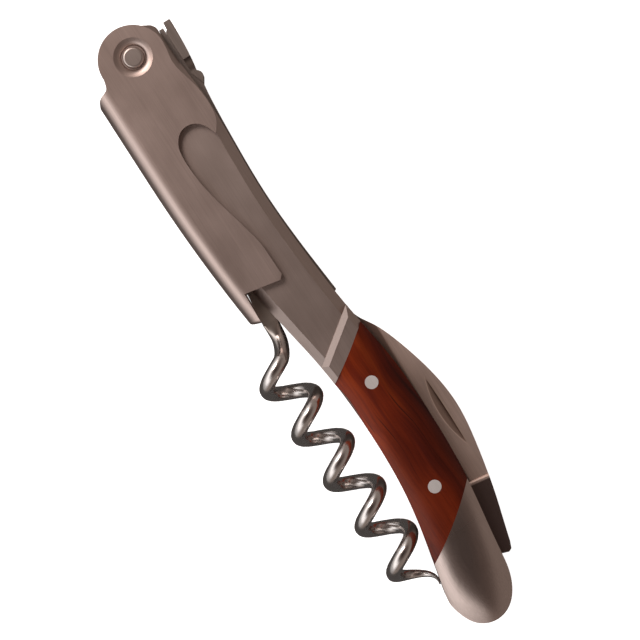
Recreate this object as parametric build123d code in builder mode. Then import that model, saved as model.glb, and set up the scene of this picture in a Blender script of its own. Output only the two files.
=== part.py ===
"""Waiters corkscrew, closed: two-part handle, single-step lever, worm and foil-cutting blade.

The tool lies on its side. Every hinge axis is vertical, along Z. X runs along the handle
from the lever's head to the butt, and Y runs from the worm's side to the blade's side.
Outlines are drawn in the plane SIDE, whose origin is the lever's hinge at mid-thickness.
"""

import os
from math import cos, radians, sin

from build123d import *

# Overall layout, mm
HALF_THICKNESS = 6.6        # mid-plane to the outer face of the lever and of the scales
LEVER_HINGE_X = -56.06      # lever hinge from the centre of the closed tool's footprint
LEVER_HINGE_Y = -0.764
SIDE = Plane(origin=(LEVER_HINGE_X, LEVER_HINGE_Y, HALF_THICKNESS))

# Layers outwards from the mid-plane
GAP_HALF = 1.5              # half the space between the liners
LINER_OUT = 2.7             # outer face of a liner
PANEL_OUT = 5.2             # recessed front panel that the lever covers
CHEEK_IN = 5.4              # inner face of a lever cheek
STRIP_HALF = 1.45           # half width of springs and spacer
TANG_HALF = 1.4             # half thickness of the blade's tang and the worm's eye

# Pivots, in SIDE coordinates
WORM_PIVOT = (42.0, -3.0)
BLADE_PIVOT = (105.0, 5.0)
SCALE_PINS = ((70.7, 4.3), (92.1, 3.7))
FRAME_PINS = ((14.0, 5.75), (33.0, 5.3), (22.0, -1.0), (54.5, 1.2), (61.0, 0.9))

# Head plate and its seat on the back spring
SEAT_Y = 7.25
SEAT_END = (7.5, 7.25)
NECK_END = (9.9, 8.05)
PLATE_HALF = 4.1
PLATE_CORNER_X = 7.0        # centre of the rounded corners where the plate narrows to its neck
NECK_HALF = 1.9
NECK_LENGTH = 10.0

# Round fits
RIVET_R = 1.25
PIN_R = 1.2
SCALE_PIN_R = 1.2
FRAME_PIN_R = 0.8
RUNNING_GAP = 0.04          # radial clearance of a hinge hole on its pin
CUT_REACH = 40.0            # length of cuts that pass right through a piece
CUT_MARGIN = 0.5            # how far a cutter starts outside the surface it cuts

# Foil blade
BLADE_HALF = 0.85           # half thickness of the ground blade
PLUNGE = ((96.1, 14.5), (94.3, 3.0))
GRIND_WIDTH = 3.7           # width of the bevels that form the cutting edge
GRIND_PLANE = Plane(
    origin=SIDE.from_local_coords((96.4, 5.95, 0)), x_dir=(0.0334, 1, 0), z_dir=(-1, 0.0334, 0)
)
SWEDGE_WIDTH = 0.9          # bevel along the spine
SWEDGE_DEPTH = 0.3
SWEDGE_OVERCUT = 0.6        # the bevel's cutter reaches this far outside the blade
PLUNGE_BEVEL = 0.3
NICK_X = 82.3
NICK_WHEEL_R = 52.0         # the nail nick is cut by a wheel of this radius
NICK_DEPTH = 0.5
NICK_SECTION = (            # Y, then height above the mid-plane
    (12.75, BLADE_HALF - NICK_DEPTH), (13.1, BLADE_HALF + NICK_DEPTH), (10.0, BLADE_HALF + NICK_DEPTH),
)

# Lever, a bent channel
HEAD_TOP = 5.9
WEB_Y = -9.85
WEB_START_X = 4.3
WEB_BEND_X = 20.0           # the web curves inwards from here to the foot
SHEET = 1.2
BEND_R = 3.0
DIMPLE_R = 3.5
DIMPLE_FLOOR_R = 2.15
DIMPLE_DEPTH = 0.75
BOSS_RISE = 0.15            # pressed boss that runs on the front panel
RIVET_HEAD_R = 1.9
RIVET_HEAD_ROUND = 0.45
RIVET_SINK = 0.08           # the rivet's head stays this far below the cheek
FORK_SLOT = 5.6             # slot through the web that lets the worm swing out
FORK_ROOT_X = 34.5
FORK_LENGTH = 30.0

# Worm, a right-hand helix of round wire
WIRE_R = 1.38
COIL_R = 3.42
PITCH = 9.9
AXIS_TILT = 1.93            # degrees between the helix axis and X
COIL_START = (57.3, -8.94)  # axis point level with the first crest of the helix
LEAD_TURN = 60.0            # degrees of the first turn taken by the lead-in bend
FULL_TURNS = 4.5
TIP_SWEEP = 188.0           # degrees of helix over which the wire tapers to its point
TIP_COIL_R = 2.35
TIP_STRETCH = 0.9
TIP_R = 0.12
TIP_STATIONS = 9
SHANK_END_X = 54.6
SHANK_END_Y = -5.2
EYE_R = 2.75

# Outlines, in SIDE coordinates
UPPER_EDGE = (
    (-2.35, 6.3), (4.0, 6.4), (11.0, 6.95), (20.0, 6.85), (32.0, 6.4), (45.0, 6.9),
    (58.5, 8.2), (69.0, 9.65), (80.0, 10.05), (91.0, 9.65), (101.0, 8.35), (109.5, 7.2),
)
LOWER_EDGE = (
    (44.0, -5.1), (49.0, -4.3), (55.0, -3.25), (64.0, -1.75), (78.0, -0.8), (90.0, -1.3),
    (98.0, -2.5), (106.0, -4.25),
)
BUTT_EDGE = ((114.3, 5.8), (117.2, 3.2), (117.9, -0.1), (116.2, -3.4), (112.2, -5.12))
HEAD_R = 5.7
PIVOT_EDGE_Y = -5.7         # lower edge where the handle carries the worm's pin
PIVOT_EDGE_END = (40.5, PIVOT_EDGE_Y)
BROW_END = (-3.75, 4.9)
BROW_TURN = (-3.3, 5.75)
CHEEK_TOP = ((4.6, 5.4), (8.5, 6.2), (13.2, 6.9), (17.3, 6.3), (19.1, 5.05))
HOOK_MOUTH = ((17.1, 4.2), (15.5, 2.4), (15.35, 0.6), (17.0, -1.5))
CHEEK_BACK = ((21.2, -2.25), (28.0, -1.5), (33.5, -0.2), (38.0, 0.85), (46.9, 1.35))
CHEEK_END = ((46.2, 2.0), (46.2, 1.3), (46.9, 0.6), (45.6, -6.1), (50.9, -6.3), (56.0, -6.3), (56.0, 2.0))
FOOT_END = ((54.0, 0.7), (50.75, -8.15))
FOOT_INSIDE = (52.0, -6.95)
NOSE = ((3.2, -9.1), (2.5, -7.4), (0.6, -6.5))
HEAD_FRONT = (-5.3, -2.75)
LIP_ROUND = 0.7             # end of the lever's foot
SCALE_FRONT = ((58.4, 11.1), (64.25, 3.75), (68.6, -3.2))
SCALE_REAR = ((92.1, 11.4), (99.0, 3.4), (104.6, -5.2))
GROOVE = ((55.6, 9.5), (66.3, -5.1))
WEST = ((-20.0, 20.0), (-20.0, -20.0))
EAST = ((130.0, 20.0), (130.0, -20.0))

# Edge treatments: width on the face, then depth
PANEL_BEVEL = (1.75, 1.45)
COLLAR_BEVEL = (1.2, 1.05)
STEP_SLOPE = (1.15, 0.95)
SCALE_ROUND = 0.9
BUTT_ROUND = 1.0
BUTT_RIM_X = 46.5
BLADE_PIN_HALF = 4.6

# Crown of the scales and rear bolsters: X, Y of both sides, then heights at side, shoulder and middle
CROWN_SHOULDER = 2.4
CROWN = (
    (54.0, -3.2, 8.6, 5.60, 6.45, 6.6),
    (66.0, -1.9, 9.8, 5.50, 6.40, 6.6),
    (80.0, -1.2, 10.6, 5.30, 6.35, 6.6),
    (92.0, -1.9, 10.1, 5.10, 6.30, 6.6),
    (100.0, -3.2, 9.1, 4.90, 6.20, 6.6),
    (108.0, -5.2, 7.9, 4.50, 5.95, 6.6),
    (114.0, -5.3, 7.0, 4.00, 5.30, 6.2),
    (119.5, -4.8, 5.8, 3.20, 3.90, 4.4),
)

os.makedirs("parts", exist_ok=True)


def boundary(points):
    """A straight line through two points or an arc through three."""
    return ThreePointArc(*points) if len(points) == 3 else Line(*points)


def region_between(left, right):
    """Face between two boundaries that both run from the upper to the lower side."""
    with BuildSketch() as band:
        with BuildLine():
            near = boundary(left)
            far = boundary(right)
            Line(near @ 0, far @ 0)
            Line(near @ 1, far @ 1)
        make_face()
    return band.sketch


with BuildSketch() as handle_outline:
    with BuildLine():
        upper = Spline(*UPPER_EDGE, tangents=((1, 0.02), (1, -0.12)))
        Spline(upper @ 1, *BUTT_EDGE, LOWER_EDGE[-1], tangents=(upper % 1, (-1, 0.22)))
        Spline(*LOWER_EDGE, tangents=((1, 0.16), (1, -0.22)))
        shoulder = Line(LOWER_EDGE[0], PIVOT_EDGE_END)
        belly = Line(shoulder @ 1, (0.0, PIVOT_EDGE_Y))
        head = ThreePointArc(
            belly @ 1, (-HEAD_R * cos(radians(25)), -HEAD_R * sin(radians(25))), (-HEAD_R, 0.9)
        )
        Line(head @ 1, BROW_END)
        ThreePointArc(BROW_END, BROW_TURN, upper @ 0)
    make_face()
handle_face = handle_outline.sketch

panel_face = handle_face & region_between(WEST, GROOVE)
collar_face = handle_face & region_between(GROOVE, SCALE_FRONT)
wood_face = handle_face & region_between(SCALE_FRONT, SCALE_REAR)
rear_face = handle_face & region_between(SCALE_REAR, EAST)


def top_face(part):
    """Outermost face of a piece on the side that faces up."""
    return part.faces().sort_by(Axis.Z)[-1]


def long_edges(part):
    """Upper and lower rims of the outermost face, without its end edges."""
    return [edge for edge in top_face(part).edges() if abs(edge.tangent_at(0.5).X) > 0.8]


def rods(centres, radius, reach, start=0.0):
    """Cylinders along Z between two heights above the mid-plane."""
    with BuildPart() as group:
        with BuildSketch(SIDE.offset(start)):
            with Locations(*centres):
                Circle(radius)
        extrude(amount=reach - start)
    return group.part


def finish_part(part, name):
    """Label and write one piece."""
    part.label = name
    export_step(part, f"parts/{name}.step")


def finish_pair(part, name):
    """Write the upper piece and its mirror image on the other side of the mid-plane."""
    finish_part(part, f"{name}_left")
    with BuildPart() as twin:
        add(part.mirror(SIDE))
    finish_part(twin.part, f"{name}_right")


# Liners
with BuildPart() as liner:
    with BuildSketch(SIDE.offset(GAP_HALF)):
        add(handle_face)
    extrude(amount=LINER_OUT - GAP_HALF)
    add(rods([(0, 0)], RIVET_R, HALF_THICKNESS), mode=Mode.SUBTRACT)
    add(rods([WORM_PIVOT, BLADE_PIVOT], PIN_R, HALF_THICKNESS), mode=Mode.SUBTRACT)
    add(rods(SCALE_PINS, SCALE_PIN_R, HALF_THICKNESS), mode=Mode.SUBTRACT)
    add(rods(FRAME_PINS, FRAME_PIN_R, HALF_THICKNESS), mode=Mode.SUBTRACT)
finish_pair(liner.part, "liner")

# Front bolster: a recessed panel with long bevels, and a raised collar behind a sloped step
with BuildPart() as panel:
    with BuildSketch(SIDE.offset(LINER_OUT)):
        add(panel_face)
    extrude(amount=PANEL_OUT - LINER_OUT)
    chamfer(long_edges(panel.part), *PANEL_BEVEL, reference=top_face(panel.part))
    add(rods([(0, 0)], RIVET_R, HALF_THICKNESS), mode=Mode.SUBTRACT)
    add(rods([WORM_PIVOT], PIN_R, HALF_THICKNESS), mode=Mode.SUBTRACT)

groove_start = SIDE.from_local_coords((*GROOVE[0], 0))
groove_run = (SIDE.from_local_coords((*GROOVE[1], 0)) - groove_start).normalized()
with BuildPart() as collar:
    with BuildSketch(SIDE.offset(LINER_OUT)):
        add(collar_face)
    extrude(amount=HALF_THICKNESS - LINER_OUT)
    chamfer(long_edges(collar.part), *COLLAR_BEVEL, reference=top_face(collar.part))
    with BuildSketch(Plane(origin=groove_start, x_dir=Vector(0, 0, 1).cross(groove_run), z_dir=groove_run)):
        Polygon(
            (-CUT_MARGIN, HALF_THICKNESS + CUT_MARGIN), (STEP_SLOPE[0], HALF_THICKNESS + CUT_MARGIN),
            (STEP_SLOPE[0], HALF_THICKNESS), (0.0, HALF_THICKNESS - STEP_SLOPE[1]),
            (-CUT_MARGIN, HALF_THICKNESS - STEP_SLOPE[1]), align=None,
        )
    extrude(amount=CUT_REACH, both=True, mode=Mode.SUBTRACT)

with BuildPart() as front_bolster:
    add(panel.part)
    add(collar.part)
finish_pair(front_bolster.part, "front_bolster")

# Block whose top is the crowned surface shared by the scales and the rear bolsters
with BuildPart() as crown_block:
    for x, low, high, side, shoulder, middle in CROWN:
        station = Plane(origin=SIDE.from_local_coords((x, 0, 0)), x_dir=(0, 1, 0), z_dir=(1, 0, 0))
        with BuildSketch(station):
            with BuildLine():
                top = Spline(
                    (low, side), (low + CROWN_SHOULDER, shoulder), ((low + high) / 2, middle),
                    (high - CROWN_SHOULDER, shoulder), (high, side),
                )
                Polyline(top @ 1, (high, 0.0), (low, 0.0), top @ 0)
            make_face()
    loft()

# Wooden scales
with BuildPart() as wood_scale:
    with BuildSketch(SIDE.offset(LINER_OUT)):
        add(wood_face)
    extrude(amount=HALF_THICKNESS - LINER_OUT)
    fillet(long_edges(wood_scale.part), SCALE_ROUND)
    add(crown_block.part, mode=Mode.INTERSECT)
    add(rods(SCALE_PINS, SCALE_PIN_R, 2 * HALF_THICKNESS), mode=Mode.SUBTRACT)
finish_pair(wood_scale.part, "wood_scale")

# Rear bolsters: crowned across the handle, falling away towards the butt
with BuildPart() as rear_bolster:
    with BuildSketch(SIDE.offset(LINER_OUT)):
        add(rear_face)
    extrude(amount=HALF_THICKNESS - LINER_OUT)
    butt_rim = [edge for edge in top_face(rear_bolster.part).edges() if edge.center().X > BUTT_RIM_X]
    fillet(butt_rim, BUTT_ROUND)
    add(crown_block.part, mode=Mode.INTERSECT)
    add(rods([BLADE_PIVOT], PIN_R, BLADE_PIN_HALF), mode=Mode.SUBTRACT)
finish_pair(rear_bolster.part, "rear_bolster")

# Springs between the liners, the plain plate on the head, and the front spacer
with BuildPart() as back_spring:
    with BuildSketch(SIDE.offset(-STRIP_HALF)):
        with BuildLine():
            seat = Polyline((-2.2, 6.4), (-2.2, SEAT_Y), SEAT_END, NECK_END)
            back = Spline(
                NECK_END, (15.0, 7.5), (22.0, 7.05), (32.0, 6.7), (43.0, 7.15), (53.5, 8.05),
                tangents=((1, -0.15), (1, 0.09)),
            )
            Polyline(back @ 1, (53.7, 7.7), (53.7, 5.4), (45.0, 4.7), (32.0, 4.3), (14.0, 4.6), seat @ 0)
        make_face()
    extrude(amount=2 * STRIP_HALF)
    add(rods(FRAME_PINS, FRAME_PIN_R, STRIP_HALF, -STRIP_HALF), mode=Mode.SUBTRACT)
finish_part(back_spring.part, "back_spring")

with BuildPart() as head_plate:
    with BuildSketch(SIDE.offset(-PLATE_HALF)):
        with BuildLine():
            crown = Spline((-2.4, 9.1), (1.5, 8.95), (7.3, 8.2), tangents=((1, 0), (1, -0.25)))
            hump = Spline(crown @ 1, (8.3, 8.85), NECK_END, tangents=((1, 1.3), (1, -0.6)))
            Polyline(
                hump @ 1, SEAT_END, (-0.9, SEAT_Y), (-1.3, 7.75), (-2.6, 7.75), (-2.6, 8.95), crown @ 0
            )
        make_face()
    extrude(amount=2 * PLATE_HALF)
    with BuildSketch(Plane.XZ.offset(-CUT_REACH / 2)):
        with Locations((LEVER_HINGE_X + PLATE_CORNER_X, HALF_THICKNESS)):
            with GridLocations(0, 2 * PLATE_HALF, 1, 2):
                Circle(PLATE_HALF - NECK_HALF)
        with Locations((LEVER_HINGE_X + PLATE_CORNER_X + NECK_LENGTH / 2, HALF_THICKNESS)):
            with GridLocations(0, 2 * PLATE_HALF, 1, 2):
                Rectangle(NECK_LENGTH, 2 * (PLATE_HALF - NECK_HALF))
    extrude(amount=CUT_REACH, mode=Mode.SUBTRACT)
finish_part(head_plate.part, "head_plate")

with BuildPart() as front_spacer:
    with BuildSketch(SIDE.offset(-STRIP_HALF)):
        with BuildLine():
            Polyline(
                (-4.0, 3.8), (14.0, 3.8), (32.0, 3.6), (35.5, 2.5), (35.5, -4.9), (0.0, -5.1), (-4.0, -3.0),
                close=True,
            )
        make_face()
    extrude(amount=2 * STRIP_HALF)
    add(rods([(0, 0)], RIVET_R, STRIP_HALF, -STRIP_HALF), mode=Mode.SUBTRACT)
    add(rods(FRAME_PINS, FRAME_PIN_R, STRIP_HALF, -STRIP_HALF), mode=Mode.SUBTRACT)
finish_part(front_spacer.part, "front_spacer")

with BuildPart() as blade_spring:
    with BuildSketch(SIDE.offset(-STRIP_HALF)):
        with BuildLine():
            outer = Spline(
                (51.0, -2.9), (56.0, -2.75), (64.0, -1.7), (78.0, -0.75), (90.0, -1.2),
                (98.0, -2.2), (106.0, -3.65), (111.0, -4.45),
                tangents=((1, 0.0), (1, -0.05)),
            )
            inner = Spline(
                (66.0, 1.6), (78.0, 1.5), (92.0, 0.9), (100.0, -0.6), (105.0, -1.4), (110.0, -2.5),
                (115.0, -3.7),
                tangents=((1, -0.1), (1, -0.3)),
            )
            Line(outer @ 1, inner @ 1)
            Polyline(inner @ 0, (64.0, 2.6), (51.0, 2.6), outer @ 0)
        make_face()
    extrude(amount=2 * STRIP_HALF)
    add(rods(FRAME_PINS, FRAME_PIN_R, STRIP_HALF, -STRIP_HALF), mode=Mode.SUBTRACT)
finish_part(blade_spring.part, "blade_spring")

# Pins
finish_part(rods(FRAME_PINS, FRAME_PIN_R, LINER_OUT, -LINER_OUT), "frame_pins")
finish_part(rods(SCALE_PINS, SCALE_PIN_R, HALF_THICKNESS, -HALF_THICKNESS), "scale_pins")
finish_part(rods([WORM_PIVOT], PIN_R, PANEL_OUT, -PANEL_OUT), "worm_pin")
finish_part(rods([BLADE_PIVOT], PIN_R, BLADE_PIN_HALF, -BLADE_PIN_HALF), "blade_pin")

# Lever: a channel with a cap lifter behind its head and a forked foot
with BuildPart() as channel:
    with BuildSketch(SIDE.offset(-HALF_THICKNESS)):
        with BuildLine():
            crest = Spline((0.0, HEAD_TOP), *CHEEK_TOP, tangents=((1, 0), (0.8, -0.6)))
            mouth = Spline(crest @ 1, *HOOK_MOUTH, tangents=((-0.9, -0.4), (0.85, -0.52)))
            back_rim = Spline(mouth @ 1, *CHEEK_BACK, tangents=((0.85, -0.52), (1, 0.02)))
            foot = Polyline(back_rim @ 1, *FOOT_END)
            web_flat = Line((WEB_BEND_X, WEB_Y), (WEB_START_X, WEB_Y))
            TangentArc(web_flat @ 0, foot @ 1, tangent=(1, 0))
            nose = Spline(web_flat @ 1, *NOSE, tangents=((-1, 0.8), (-1, 0.25)))
            ThreePointArc(nose @ 1, HEAD_FRONT, crest @ 0)
        make_face()
    extrude(amount=2 * HALF_THICKNESS)
    web_edges = [
        edge for edge in channel.edges()
        if edge.center().Y < LEVER_HINGE_Y - 8.2 and abs(edge.tangent_at(0.5).X) > 0.9
    ]
    fillet(web_edges, BEND_R)

    # Space inside the channel, open at both ends, with the inner radius of the bend
    with BuildSketch(SIDE.offset(-CHEEK_IN)):
        with BuildLine():
            inner_flat = Line((WEB_BEND_X, WEB_Y + SHEET), (-10.0, WEB_Y + SHEET))
            TangentArc(inner_flat @ 0, FOOT_INSIDE, tangent=(1, 0))
            Polyline(FOOT_INSIDE, (FOOT_INSIDE[0], 12.0), (-10.0, 12.0), inner_flat @ 1)
        make_face()
    cavity = extrude(amount=2 * CHEEK_IN, mode=Mode.PRIVATE)
    floor_edges = [
        edge for edge in cavity.edges()
        if edge.center().Y < LEVER_HINGE_Y - 6.5 and abs(edge.tangent_at(0.5).X) > 0.9
    ]
    add(cavity.fillet(BEND_R - SHEET, floor_edges), mode=Mode.SUBTRACT)

    # The cheeks end ahead of the foot, which keeps only low walls
    with BuildSketch(SIDE.offset(-HALF_THICKNESS)):
        Polygon(*CHEEK_END, align=None)
    extrude(amount=2 * HALF_THICKNESS, mode=Mode.SUBTRACT)

    # Pressed dimple around the rivet on each cheek, with soft shoulders
    for side in (1, -1):
        face = HALF_THICKNESS + side * HALF_THICKNESS
        floor = face - side * DIMPLE_DEPTH
        with BuildSketch(Plane(origin=(LEVER_HINGE_X, LEVER_HINGE_Y, 0), x_dir=(1, 0, 0), z_dir=(0, -1, 0))):
            with BuildLine():
                slope = Spline(
                    (DIMPLE_R, face), (DIMPLE_FLOOR_R, floor), tangents=((-1, -0.12 * side), (-0.4, -side))
                )
                Polyline(slope @ 1, (0.0, floor), (0.0, face + side), (DIMPLE_R, face + side), slope @ 0)
            make_face()
        revolve(axis=Axis((LEVER_HINGE_X, LEVER_HINGE_Y, 0), (0, 0, 1)), mode=Mode.SUBTRACT)
        with BuildSketch(Plane(origin=SIDE.origin, z_dir=(0, 0, side)).offset(CHEEK_IN - BOSS_RISE)):
            Circle(DIMPLE_FLOOR_R)
        extrude(amount=BOSS_RISE)
    add(rods([(0, 0)], RIVET_R + RUNNING_GAP, HALF_THICKNESS, -HALF_THICKNESS), mode=Mode.SUBTRACT)

    # Fork slot from the foot to behind the worm's hinge, and the narrower foot
    with BuildSketch(Plane.XZ.offset(-LEVER_HINGE_Y)):
        with Locations((LEVER_HINGE_X + FORK_ROOT_X + FORK_LENGTH / 2, HALF_THICKNESS)):
            SlotOverall(FORK_LENGTH, FORK_SLOT)
    extrude(amount=CUT_REACH, mode=Mode.SUBTRACT)
    lip_edges = [
        edge for edge in channel.edges().filter_by(Axis.Z)
        if edge.center().X > LEVER_HINGE_X + 50.0 and edge.center().Y < LEVER_HINGE_Y - 8.0
    ]
    fillet(lip_edges, LIP_ROUND)
finish_part(channel.part, "lever")


# Rivet through both cheeks, its heads sunk in the dimples
HEAD_FLOOR = HALF_THICKNESS - DIMPLE_DEPTH + RUNNING_GAP
with BuildPart() as lever_rivet:
    add(rods([(0, 0)], RIVET_R, HEAD_FLOOR, -HEAD_FLOOR))
    for side in (1, -1):
        with BuildSketch(Plane(origin=SIDE.origin, z_dir=(0, 0, side)).offset(HEAD_FLOOR)):
            Circle(RIVET_HEAD_R)
        extrude(amount=HALF_THICKNESS - RIVET_SINK - HEAD_FLOOR)
    rims = lever_rivet.edges().filter_by(GeomType.CIRCLE).group_by(Axis.Z)
    fillet(rims[0] + rims[-1], RIVET_HEAD_ROUND)
finish_part(lever_rivet.part, "lever_rivet")

# Foil blade: ground flat to its edge, with a thicker tang and a nail nick
with BuildSketch() as blade_outline:
    with BuildLine():
        spine = Spline(
            (58.6, 8.25), (62.0, 10.0), (68.0, 12.5), (75.0, 14.35), (82.0, 15.1), (90.0, 14.2),
            (100.0, 12.0), (108.0, 9.75),
            tangents=((1, 0.25), (1, -0.27)),
        )
        heel = Polyline(spine @ 1, (109.2, 9.25), (109.5, 8.6), (109.0, 7.2), (109.0, 1.2))
        tang = ThreePointArc(heel @ 1, (105.0, -0.5), (101.0, 1.2))
        choil = Spline(tang @ 1, (98.2, 4.2), (96.4, 6.1), tangents=((-1, 1), (-1, 0.2)))
        Spline(
            choil @ 1, (88.0, 6.2), (74.0, 6.6), (64.0, 7.1), spine @ 0,
            tangents=((-1, 0.05), (-0.8, 0.6)),
        )
    make_face()
tang_face = blade_outline.sketch & region_between(PLUNGE, EAST)

with BuildPart() as swedge:
    with BuildLine(SIDE) as spine_path:
        add(spine)
    with BuildSketch(Plane(origin=spine_path.line @ 0.0, x_dir=(0, 0, 1), z_dir=spine_path.line % 0.0)):
        for side in (1, -1):
            Polygon(
                (side * (BLADE_HALF - SWEDGE_DEPTH), 0.0),
                (side * BLADE_HALF, SWEDGE_WIDTH),
                (side * (BLADE_HALF + SWEDGE_OVERCUT), SWEDGE_WIDTH),
                (side * (BLADE_HALF + SWEDGE_OVERCUT), -SWEDGE_OVERCUT),
                (side * (BLADE_HALF - SWEDGE_DEPTH), -SWEDGE_OVERCUT),
                align=None,
            )
    sweep(path=spine_path.line)

with BuildPart() as foil_blade:
    with BuildSketch(SIDE.offset(-BLADE_HALF)):
        add(blade_outline.sketch)
    extrude(amount=2 * BLADE_HALF)
    with BuildSketch(GRIND_PLANE):
        Polygon(
            (0.0, 0.05), (GRIND_WIDTH, BLADE_HALF), (20.0, BLADE_HALF),
            (20.0, -BLADE_HALF), (GRIND_WIDTH, -BLADE_HALF), (0.0, -0.05), align=None,
        )
    extrude(amount=CUT_REACH, both=True, mode=Mode.INTERSECT)
    add(swedge.part, mode=Mode.SUBTRACT)
    with BuildSketch(SIDE.offset(-TANG_HALF)):
        add(tang_face)
    extrude(amount=2 * TANG_HALF)
    plunges = [
        edge for edge in foil_blade.edges().filter_by(GeomType.LINE)
        if abs(edge.center().X - LEVER_HINGE_X - 95.5) < 0.6 and edge.length > 4.0
        and abs(abs(edge.center().Z - HALF_THICKNESS) - TANG_HALF) < 0.01
    ]
    chamfer(plunges, PLUNGE_BEVEL)
    with BuildSketch(Plane(origin=SIDE.from_local_coords((NICK_X, 0, 0)), x_dir=(0, 1, 0), z_dir=(1, 0, 0))):
        with BuildLine():
            Polyline(*NICK_SECTION, close=True)
        make_face()
    revolve(
        axis=Axis(SIDE.from_local_coords((NICK_X, 0, BLADE_HALF + NICK_WHEEL_R - NICK_DEPTH)), (0, 1, 0)),
        mode=Mode.SUBTRACT,
    )
    add(rods([BLADE_PIVOT], PIN_R + RUNNING_GAP, TANG_HALF, -TANG_HALF), mode=Mode.SUBTRACT)
finish_part(foil_blade.part, "foil_blade")

# Worm: an eye on its pin, a flattened shank and a lead-in bend to the helix
WORM_AXIS = Plane(
    origin=SIDE.from_local_coords((*COIL_START, 0.0)),
    x_dir=(-sin(radians(AXIS_TILT)), cos(radians(AXIS_TILT)), 0.0),
    z_dir=(cos(radians(AXIS_TILT)), sin(radians(AXIS_TILT)), 0.0),
)


def coil_point(turn, radius):
    """Centre of the wire after so many degrees of helix from its first crest."""
    local = (radius * cos(radians(turn)), radius * sin(radians(turn)), PITCH * turn / 360.0)
    return WORM_AXIS.from_local_coords(local)


def tip_point(share):
    """Centre of the tapering wire, which closes in on the axis towards its point."""
    turn = 360.0 * FULL_TURNS + TIP_SWEEP * share
    radius = COIL_R - (COIL_R - TIP_COIL_R) * share**2
    return coil_point(turn, radius) + WORM_AXIS.z_dir * (TIP_STRETCH * share**2)


def tip_plane(share):
    """Plane across the tapering wire."""
    step = 0.001
    ahead = tip_point(share + step) - tip_point(share - step)
    return Plane(origin=tip_point(share), z_dir=ahead)


lead_turns = LEAD_TURN / 360.0
helix_frame = Plane(
    origin=WORM_AXIS.origin + WORM_AXIS.z_dir * (PITCH * lead_turns),
    x_dir=WORM_AXIS.x_dir.rotate(Axis((0, 0, 0), WORM_AXIS.z_dir), LEAD_TURN),
    z_dir=WORM_AXIS.z_dir,
)
helix = Edge.make_helix(PITCH, PITCH * (FULL_TURNS - lead_turns), COIL_R)
helix = helix.moved(helix_frame.location)
shank_dir = Vector(1, -0.07, 0).normalized()
shank_end = SIDE.from_local_coords((SHANK_END_X, SHANK_END_Y, 0))

with BuildPart() as coil:
    with BuildSketch(Plane(origin=helix @ 0, z_dir=helix % 0)):
        Circle(WIRE_R)
    sweep(path=helix, is_frenet=True)

with BuildPart() as lead_in:
    with BuildLine() as lead_path:
        Spline(shank_end, helix @ 0, tangents=(shank_dir, helix % 0), tangent_scalars=(1.0, 0.6))
    with BuildSketch(Plane(origin=shank_end, z_dir=shank_dir)):
        Circle(WIRE_R)
    sweep(path=lead_path.line)

with BuildPart() as tip:
    for station in range(TIP_STATIONS + 1):
        share = station / TIP_STATIONS
        with BuildSketch(tip_plane(share)):
            Circle(WIRE_R + (TIP_R - WIRE_R) * share)
    loft()

NECK_START = SIDE.from_local_coords((52.2, -5.02, 0))
with BuildPart() as worm:
    with BuildSketch(SIDE.offset(-TANG_HALF)):
        with BuildLine():
            Polyline(
                (42.0, -0.6), (46.0, -1.9), (50.0, -3.45), (52.2, -3.55), (52.2, -6.5), (44.0, -5.6),
                (40.5, -4.8), close=True,
            )
        make_face()
        with Locations(WORM_PIVOT):
            Circle(EYE_R)
    extrude(amount=2 * TANG_HALF)
    with BuildSketch(Plane(origin=NECK_START, x_dir=(0, 1, 0), z_dir=(1, 0, 0))):
        RectangleRounded(2.95, 2 * TANG_HALF, 0.35)
    with BuildSketch(Plane(origin=shank_end, z_dir=shank_dir)):
        Circle(WIRE_R)
    loft()
    add(lead_in.part)
    add(coil.part)
    add(tip.part)
    add(rods([WORM_PIVOT], PIN_R + RUNNING_GAP, TANG_HALF, -TANG_HALF), mode=Mode.SUBTRACT)
finish_part(worm.part, "worm")
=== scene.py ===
"""Looks, light and camera for the waiters corkscrew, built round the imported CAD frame."""

import math

import bpy
from mathutils import Matrix, Vector


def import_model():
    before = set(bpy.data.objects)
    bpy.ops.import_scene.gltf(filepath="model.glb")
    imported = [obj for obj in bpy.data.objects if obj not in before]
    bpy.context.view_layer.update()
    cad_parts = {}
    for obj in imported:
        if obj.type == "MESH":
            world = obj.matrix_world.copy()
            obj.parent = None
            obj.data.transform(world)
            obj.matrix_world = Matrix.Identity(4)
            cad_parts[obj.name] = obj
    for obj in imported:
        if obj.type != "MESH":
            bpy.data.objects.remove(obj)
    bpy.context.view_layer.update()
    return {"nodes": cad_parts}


MM = 0.001
WHITE = (1.0, 1.0, 1.0)

TO_BUTT = (1.0, 0.0, 0.0)
TO_HEAD = (-1.0, 0.0, 0.0)
TO_BLADE_SIDE = (0.0, 1.0, 0.0)
UPRIGHT = (0.0, 0.0, 1.0)
TANG_LINE = (1.0, -0.157, 0.0)      # square to the line where the tang meets the blade

# Inputs of a Mix node, which has one set for colours and another for numbers
MIX_FACTOR = 0
NUMBER_A, NUMBER_B, NUMBER_RESULT = 2, 3, 0
COLOUR_A, COLOUR_B, COLOUR_RESULT = 6, 7, 2

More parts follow.
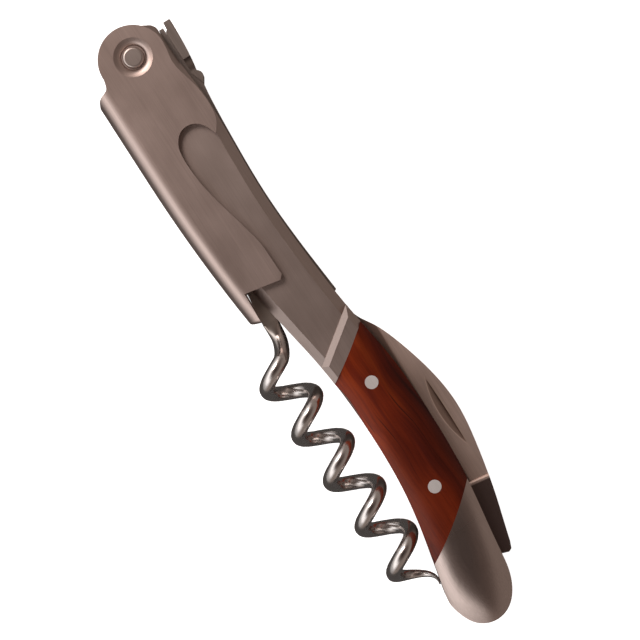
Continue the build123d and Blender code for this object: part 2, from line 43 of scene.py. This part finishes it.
# Steel: repeats per metre along and across the brushing
STROKE_SCALE = (60.0, 9000.0, 9000.0)
GRAIN_SCALE = (300.0, 3600.0, 3600.0)
SMUDGE_SCALE = (70.0, 110.0, 110.0)
SPECKLE_SCALE = (2600.0, 2600.0, 2600.0)
DARK_STROKE, LIGHT_STROKE = 2.2, 2.0    # tone lost or gained, as a multiple of the brush strength
STROKE_STOPS = (0.30, 0.70)             # where the dark and the light stroke are pure
SMUDGE_TINTS = ((0.30, (0.95, 0.94, 0.93)), (0.68, WHITE))
SMUDGE_LIMITS = (0.3, 0.7)
POLISH_SPREAD = 0.03                    # roughness below and above its mean
GRAIN_SHARE = 0.05                      # roughness that the grain adds
SPECKLE_SHARE = 0.5                     # height of the speckle beside the strokes
STROKE_DEPTH = 0.0035 * MM

# Wood: repeats per metre along and across the grain
BEND_SCALE = (28.0, 60.0, 60.0)
BAND_SCALE = (16.0, 300.0, 220.0)
FIBRE_SCALE = (120.0, 3600.0, 2400.0)
CRACK_SCALE = (24.0, 1500.0, 800.0)
CLOUD_SCALE = (45.0, 80.0, 80.0)
WOOD_TURN = (0.0, 0.0, math.radians(4.0))
BEND_REACH = 4.0 * MM
BAND_TONES = (
    (0.24, (0.045, 0.0045, 0.0015)),
    (0.42, (0.125, 0.0125, 0.0020)),
    (0.56, (0.200, 0.0260, 0.0030)),
    (0.74, (0.290, 0.0520, 0.0065)),
)
FIBRE_TINTS = ((0.30, (0.74, 0.68, 0.66)), (0.60, WHITE))
CRACK_TINTS = ((0.300, (0.30, 0.25, 0.25)), (0.335, WHITE))
CLOUD_TINTS = ((0.32, (0.62, 0.52, 0.48)), (0.66, (1.18, 1.16, 1.10)))
# Painted light and shade across the crowned scale: lighter on the side away from the blade, darker
# towards the blade's side
SIDE_PAINTED_SHADING_SPAN = (-1.0, 9.0)           # mm across the handle
SIDE_PAINTED_SHADING_TINTS = (
    (0.0, (1.15, 1.20, 1.25)),
    (0.45, (0.92, 0.86, 0.84)),
    (0.80, (0.55, 0.48, 0.46)),
    (1.0, (0.50, 0.46, 0.46)),
)
# The wood gets darker towards the butt's end
BUTT_DARKENING_SPAN = (18.0, 48.0)          # mm along the handle
BUTT_DARKENING_TINTS = ((0.0, WHITE), (1.0, (0.60, 0.52, 0.50)))
WOOD_ROUGHNESS = (0.34, 0.48)
CRACK_SHARE = 0.8                       # height of the cracks beside the fibre
WOOD_DEPTH = 0.010 * MM
WOOD_BUMP = 0.5
WOOD_SPECULAR = 0.20
OIL_COAT, OIL_ROUGHNESS = 0.04, 0.20

# Surroundings seen in the steel: colours, then where each one fades in
LIT_SIDE = (-0.45, -0.84, 0.30)         # towards the bright wall
LIT_WALL = (1.80, 1.77, 1.76)
LIT_WALL_FOOT = (0.62, 0.60, 0.59)      # lower part of the bright wall
WALL = (0.33, 0.275, 0.245)
CEILING = (0.13, 0.098, 0.085)
HATCH = (0.04, 0.030, 0.026)            # dark patch straight overhead
GROUND = (0.095, 0.088, 0.084)
LIT_WALL_FADE = (0.15, 0.75)
WALL_FOOT_FADE = (0.50, 0.15)
CEILING_FADE = (0.66, 0.92)
HATCH_FADE = (0.955, 0.985)
GROUND_FADE = (0.02, -0.22)

# Key light
KEY_PLACE = (-0.70, -0.16, 0.80)
KEY_SIZE = 0.42
KEY_POWER = 4.3
KEY_COLOUR = (1.0, 0.86, 0.79)

# Floor
FLOOR_REACH = 1.5                       # metres from the middle to each side
FLOOR_GAP = 0.02 * MM
PAPER_SCALE = (30.0, 30.0, 30.0)
PAPER_TINTS = ((0.3, (0.93, 0.93, 0.93)), (0.7, (0.95, 0.95, 0.95)))
PAPER_ROUGHNESS = 0.9
PAPER_GLOW = 0.95

# Camera
VIEW_RIGHT = (0.5417, 0.8406, 0.0)      # what points right in the picture
VIEW_CENTRE = (0.54 * MM, 1.84 * MM)
VIEW_WIDTH = 114.3 * MM                 # seen at the tool's mid-plane
MID_HEIGHT = 6.6 * MM
CAMERA_DISTANCE = 400.0 * MM            # above the mid-plane
SENSOR_WIDTH = 36.0
CLIP_START = 0.01

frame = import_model()


# ---------------------------------------------------------------- node helpers


def metres(span):
    """Two places in millimetres, turned into metres."""
    return span[0] * MM, span[1] * MM


class Nodes:
    """Short calls for building a node tree; coords names the coordinates that it works in."""

    def __init__(self, tree, coords):
        self.tree = tree
        self.coords = self.new("ShaderNodeTexCoord").outputs[coords]

    def new(self, kind, **settings):
        node = self.tree.nodes.new(kind)
        for key, value in settings.items():
            setattr(node, key, value)
        return node

    def link(self, source, target):
        self.tree.links.new(source, target)

    def mapped(self, scale, rotation=(0.0, 0.0, 0.0), source=None):
        """Coordinates turned and stretched; scale is in repeats per metre."""
        node = self.new("ShaderNodeMapping")
        node.inputs["Rotation"].default_value = rotation
        node.inputs["Scale"].default_value = scale
        self.link(source or self.coords, node.inputs["Vector"])
        return node.outputs["Vector"]

    def along(self, direction):
        """How far a point lies along a direction."""
        node = self.new("ShaderNodeVectorMath", operation="DOT_PRODUCT")
        self.link(self.coords, node.inputs[0])
        node.inputs[1].default_value = direction
        return node.outputs["Value"]

    def noise(self, vector, detail=3.0, roughness=0.5, distortion=0.0):
        node = self.new("ShaderNodeTexNoise")
        node.inputs["Scale"].default_value = 1.0
        node.inputs["Detail"].default_value = detail
        node.inputs["Roughness"].default_value = roughness
        node.inputs["Distortion"].default_value = distortion
        self.link(vector, node.inputs["Vector"])
        return node.outputs["Fac"]

    def ramp(self, value, stops, interpolation="EASE"):
        """Colour ramp; each stop is a position and a colour."""
        node = self.new("ShaderNodeValToRGB")
        node.color_ramp.interpolation = interpolation
        elements = node.color_ramp.elements
        while len(elements) < len(stops):
            elements.new(0.5)
        for element, (position, colour) in zip(elements, stops):
            element.position = position
            element.color = (*colour, 1.0)
        self.link(value, node.inputs["Fac"])
        return node.outputs["Color"]

    def map_range(self, value, source, target=(0.0, 1.0), interpolation="LINEAR"):
        node = self.new("ShaderNodeMapRange", interpolation_type=interpolation)
        node.inputs["From Min"].default_value, node.inputs["From Max"].default_value = source
        node.inputs["To Min"].default_value, node.inputs["To Max"].default_value = target
        self.link(value, node.inputs["Value"])
        return node.outputs["Result"]

    def fade(self, value, span):
        """A soft step from 0 to 1."""
        return self.map_range(value, span, interpolation="SMOOTHSTEP")

    def mix(self, factor, first, second, blend="MIX"):
        """Mix of two colours; each is a socket or an RGB tuple."""
        node = self.new("ShaderNodeMix", data_type="RGBA", blend_type=blend)
        for index, value in ((MIX_FACTOR, factor), (COLOUR_A, first), (COLOUR_B, second)):
            if isinstance(value, bpy.types.NodeSocket):
                self.link(value, node.inputs[index])
            elif isinstance(value, tuple):
                node.inputs[index].default_value = (*value, 1.0)
            else:
                node.inputs[index].default_value = value
        return node.outputs[COLOUR_RESULT]

    def multiply(self, colour, *factors):
        """Product of colours; each is a socket or an RGB tuple."""
        for factor in factors:
            colour = self.mix(1.0, colour, factor, "MULTIPLY")
        return colour

    def blend(self, factor, first, second):
        """Mix of a value socket and a plain number."""
        node = self.new("ShaderNodeMix", data_type="FLOAT")
        self.link(factor, node.inputs[MIX_FACTOR])
        self.link(first, node.inputs[NUMBER_A])
        node.inputs[NUMBER_B].default_value = second
        return node.outputs[NUMBER_RESULT]

    def product(self, first, second):
        node = self.new("ShaderNodeMath", operation="MULTIPLY")
        self.link(first, node.inputs[0])
        self.link(second, node.inputs[1])
        return node.outputs[0]

    def add(self, first, second, weight):
        """first + weight * second."""
        node = self.new("ShaderNodeMath", operation="MULTIPLY_ADD")
        self.link(second, node.inputs[0])
        node.inputs[1].default_value = weight
        self.link(first, node.inputs[2])
        return node.outputs[0]


class Surface(Nodes):
    """The node tree of one new material."""

    def __init__(self, name):
        self.material = bpy.data.materials.new(name)
        self.material.use_nodes = True
        super().__init__(self.material.node_tree, "Object")
        self.shader = self.tree.nodes["Principled BSDF"]

    def bump(self, height, depth, strength=1.0):
        node = self.new("ShaderNodeBump")
        node.inputs["Strength"].default_value = strength
        node.inputs["Distance"].default_value = depth
        self.link(height, node.inputs["Height"])
        self.link(node.outputs["Normal"], self.shader.inputs["Normal"])


# ---------------------------------------------------------------- materials


def zone(direction, fade_in, factor, roughness, fade_out=None):
    """A part of a piece with another finish; some zones darken the colour as painted shade.

    It fades in between two places along a direction, in mm, and out again between two others
    if they are given. It brings a colour factor and a roughness.
    """
    return direction, fade_in, factor, roughness, fade_out


def steel(name, colour, roughness, brush, brush_angle=0.0, zones=()):
    """Satin steel: fine brushing along one direction, faint smudges and uneven polish."""
    n = Surface(name)
    turn = (0.0, 0.0, -brush_angle)
    strokes = n.noise(n.mapped(STROKE_SCALE, turn), detail=2.0, roughness=0.6)
    grain = n.noise(n.mapped(GRAIN_SCALE, turn), detail=2.0)
    smudge = n.noise(n.mapped(SMUDGE_SCALE))
    speckle = n.noise(n.mapped(SPECKLE_SCALE), detail=2.0)
    dark = tuple(c * (1.0 - DARK_STROKE * brush) for c in colour)
    light = tuple(min(1.0, c * (1.0 + LIGHT_STROKE * brush)) for c in colour)
    tone = n.ramp(strokes, tuple(zip(STROKE_STOPS, (dark, light))), "LINEAR")
    tone = n.multiply(tone, n.ramp(smudge, SMUDGE_TINTS))
    polish = (roughness - POLISH_SPREAD, roughness + POLISH_SPREAD)
    rough = n.add(n.map_range(smudge, SMUDGE_LIMITS, polish), grain, GRAIN_SHARE)
    for direction, fade_in, factor, zone_roughness, fade_out in zones:
        place = n.along(direction)
        share = n.map_range(place, metres(fade_in))
        if fade_out:
            share = n.product(share, n.map_range(place, metres(fade_out), (1.0, 0.0)))
        tone = n.mix(share, tone, n.multiply(tone, factor))
        rough = n.blend(share, rough, zone_roughness)
    n.link(tone, n.shader.inputs["Base Color"])
    n.link(rough, n.shader.inputs["Roughness"])
    n.bump(n.add(strokes, speckle, SPECKLE_SHARE), STROKE_DEPTH)
    n.shader.inputs["Metallic"].default_value = 1.0
    return n.material


def wood(name):
    """Oiled reddish hardwood: soft bands along the handle, thin dark cracks and fine fibre."""
    n = Surface(name)
    bend = n.noise(n.mapped(BEND_SCALE), detail=2.0)
    shift = n.new("ShaderNodeCombineXYZ")
    n.link(n.map_range(bend, (0.0, 1.0), (-BEND_REACH, BEND_REACH)), shift.inputs["Y"])
    warped = n.new("ShaderNodeVectorMath", operation="ADD")
    n.link(n.coords, warped.inputs[0])
    n.link(shift.outputs[0], warped.inputs[1])
    flow = warped.outputs[0]

    bands = n.noise(
        n.mapped(BAND_SCALE, WOOD_TURN, flow), detail=4.0, roughness=0.55, distortion=0.4
    )
    fibre = n.noise(n.mapped(FIBRE_SCALE, WOOD_TURN, flow), roughness=0.7)
    cracks = n.noise(n.mapped(CRACK_SCALE, WOOD_TURN, flow))
    cloud = n.noise(n.mapped(CLOUD_SCALE), detail=2.0)

    # Painted light and shade across the scale: lighter away from the blade, darker towards the
    # blade's side
    side_shading = n.map_range(n.along(TO_BLADE_SIDE), metres(SIDE_PAINTED_SHADING_SPAN))
    # The wood gets darker towards the butt's end
    butt_darkening = n.map_range(n.along(TO_BUTT), metres(BUTT_DARKENING_SPAN))
    colour = n.multiply(
        n.ramp(bands, BAND_TONES),
        n.ramp(fibre, FIBRE_TINTS),
        n.ramp(cracks, CRACK_TINTS, "LINEAR"),
        n.ramp(cloud, CLOUD_TINTS),
        n.ramp(side_shading, SIDE_PAINTED_SHADING_TINTS),
        n.ramp(butt_darkening, BUTT_DARKENING_TINTS),
    )
    n.link(colour, n.shader.inputs["Base Color"])
    n.link(n.map_range(fibre, (0.0, 1.0), WOOD_ROUGHNESS), n.shader.inputs["Roughness"])
    n.bump(n.add(fibre, cracks, CRACK_SHARE), WOOD_DEPTH, WOOD_BUMP)
    n.shader.inputs["Specular IOR Level"].default_value = WOOD_SPECULAR
    n.shader.inputs["Coat Weight"].default_value = OIL_COAT
    n.shader.inputs["Coat Roughness"].default_value = OIL_ROUGHNESS
    return n.material


SMOOTHER_BUTT = zone(TO_BUTT, (30.0, 45.0), WHITE, 0.27)
# Painted dark reflection: the tang's colour is darkened to stand for the dark overhead mirrored in
# its flat steel, with a smoother polish
TANG_PAINTED_REFLECTION = zone(TANG_LINE, (38.4, 38.7), (0.25, 0.23, 0.24), 0.34)
# Painted shade in the nail nick and the spine bevel: the heights that take them in get a darker
# colour
CUTS_PAINTED_SHADE = zone(UPRIGHT, (6.85, 6.95), (0.42, 0.38, 0.36), 0.42, fade_out=(7.36, 7.44))
DULL_SHANK = zone(TO_HEAD, (-1.0, 3.0), (0.92, 0.86, 0.80), 0.36)

LEVER_STEEL = steel("lever_satin", (0.50, 0.400, 0.365), 0.38, 0.035, math.radians(80.0))
BOLSTER_STEEL = steel("bolster_satin", (0.45, 0.368, 0.338), 0.40, 0.03, zones=(SMOOTHER_BUTT,))
LINER_STEEL = steel("liner_satin", (0.36, 0.315, 0.29), 0.38, 0.05)
SPRING_STEEL = steel("spring_brushed", (0.33, 0.285, 0.262), 0.38, 0.06)
BLADE_STEEL = steel(
    "blade_ground", (0.88, 0.71, 0.635), 0.38, 0.05, math.radians(90.0), (TANG_PAINTED_REFLECTION, CUTS_PAINTED_SHADE)
)
WORM_STEEL = steel("worm_polished", (0.60, 0.56, 0.54), 0.17, 0.02, zones=(DULL_SHANK,))
RIVET_STEEL = steel("rivet_satin", (0.52, 0.45, 0.42), 0.34, 0.03)
PIN_STEEL = steel("pin_polished", (0.93, 0.91, 0.91), 0.48, 0.02)
WOOD = wood("oiled_wood")

FINISHES = {
    "lever": LEVER_STEEL,
    "front_bolster_left": BOLSTER_STEEL,
    "front_bolster_right": BOLSTER_STEEL,
    "rear_bolster_left": BOLSTER_STEEL,
    "rear_bolster_right": BOLSTER_STEEL,
    "liner_left": LINER_STEEL,
    "liner_right": LINER_STEEL,
    "front_spacer": LINER_STEEL,
    "back_spring": SPRING_STEEL,
    "blade_spring": SPRING_STEEL,
    "head_plate": SPRING_STEEL,
    "foil_blade": BLADE_STEEL,
    "worm": WORM_STEEL,
    "lever_rivet": RIVET_STEEL,
    "worm_pin": PIN_STEEL,
    "blade_pin": PIN_STEEL,
    "scale_pins": PIN_STEEL,
    "frame_pins": PIN_STEEL,
    "wood_scale_left": WOOD,
    "wood_scale_right": WOOD,
}
for node_name, material in FINISHES.items():
    node = frame["nodes"][node_name]
    node.data.materials.clear()
    node.data.materials.append(material)


# ---------------------------------------------------------------- floor, light, camera


def floor():
    """A large plain white floor just under the tool, lit from within and not seen in the steel."""
    mesh = bpy.data.meshes.new("floor")
    signs = ((-1, -1), (1, -1), (1, 1), (-1, 1))
    corners = [(x * FLOOR_REACH, y * FLOOR_REACH, 0) for x, y in signs]
    mesh.from_pydata(corners, [], [(0, 1, 2, 3)])
    obj = bpy.data.objects.new("floor", mesh)
    bpy.context.scene.collection.objects.link(obj)
    obj.location.z = -FLOOR_GAP
    n = Surface("floor_paper")
    tint = n.noise(n.mapped(PAPER_SCALE), detail=2.0)
    n.link(n.ramp(tint, PAPER_TINTS), n.shader.inputs["Base Color"])
    n.shader.inputs["Roughness"].default_value = PAPER_ROUGHNESS
    n.shader.inputs["Emission Color"].default_value = (*WHITE, 1.0)
    n.shader.inputs["Emission Strength"].default_value = PAPER_GLOW
    mesh.materials.append(n.material)
    obj.visible_glossy = False


def world():
    """Studio surroundings: one white wall, warm dim walls elsewhere, darker overhead and below."""
    studio = bpy.data.worlds.new("studio")
    studio.use_nodes = True
    bpy.context.scene.world = studio
    n = Nodes(studio.node_tree, "Generated")
    height = n.along(UPRIGHT)
    lit = n.mix(n.fade(height, WALL_FOOT_FADE), LIT_WALL, LIT_WALL_FOOT)
    walls = n.mix(n.fade(n.along(LIT_SIDE), LIT_WALL_FADE), WALL, lit)
    ceiling = n.mix(n.fade(height, CEILING_FADE), walls, CEILING)
    hatch = n.mix(n.fade(height, HATCH_FADE), ceiling, HATCH)
    ground = n.mix(n.fade(height, GROUND_FADE), hatch, GROUND)
    n.link(ground, n.tree.nodes["Background"].inputs["Color"])


def camera():
    """Looks straight down on the closed tool, turned so that the handle runs diagonally."""
    right = Vector(VIEW_RIGHT).normalized()
    up = Vector((-right.y, right.x, 0.0))
    turn = Matrix((right, up, UPRIGHT)).transposed()
    place = Matrix.Translation((*VIEW_CENTRE, MID_HEIGHT + CAMERA_DISTANCE))
    data = bpy.data.cameras.new("camera")
    data.sensor_width = SENSOR_WIDTH
    data.lens = SENSOR_WIDTH * CAMERA_DISTANCE / VIEW_WIDTH
    data.clip_start = CLIP_START
    obj = bpy.data.objects.new("camera", data)
    obj.matrix_world = place @ turn.to_4x4()
    bpy.context.scene.collection.objects.link(obj)
    bpy.context.scene.camera = obj


def key_light():
    """A soft box that faces the tool."""
    data = bpy.data.lights.new("key", "AREA")
    data.shape = "RECTANGLE"
    data.size = data.size_y = KEY_SIZE
    data.energy = KEY_POWER
    data.color = KEY_COLOUR
    obj = bpy.data.objects.new("key", data)
    obj.location = KEY_PLACE
    obj.rotation_euler = (-Vector(KEY_PLACE)).to_track_quat("-Z", "Y").to_euler()
    bpy.context.scene.collection.objects.link(obj)


floor()
world()
camera()
key_light()
bpy.context.scene.view_settings.view_transform = "Standard"
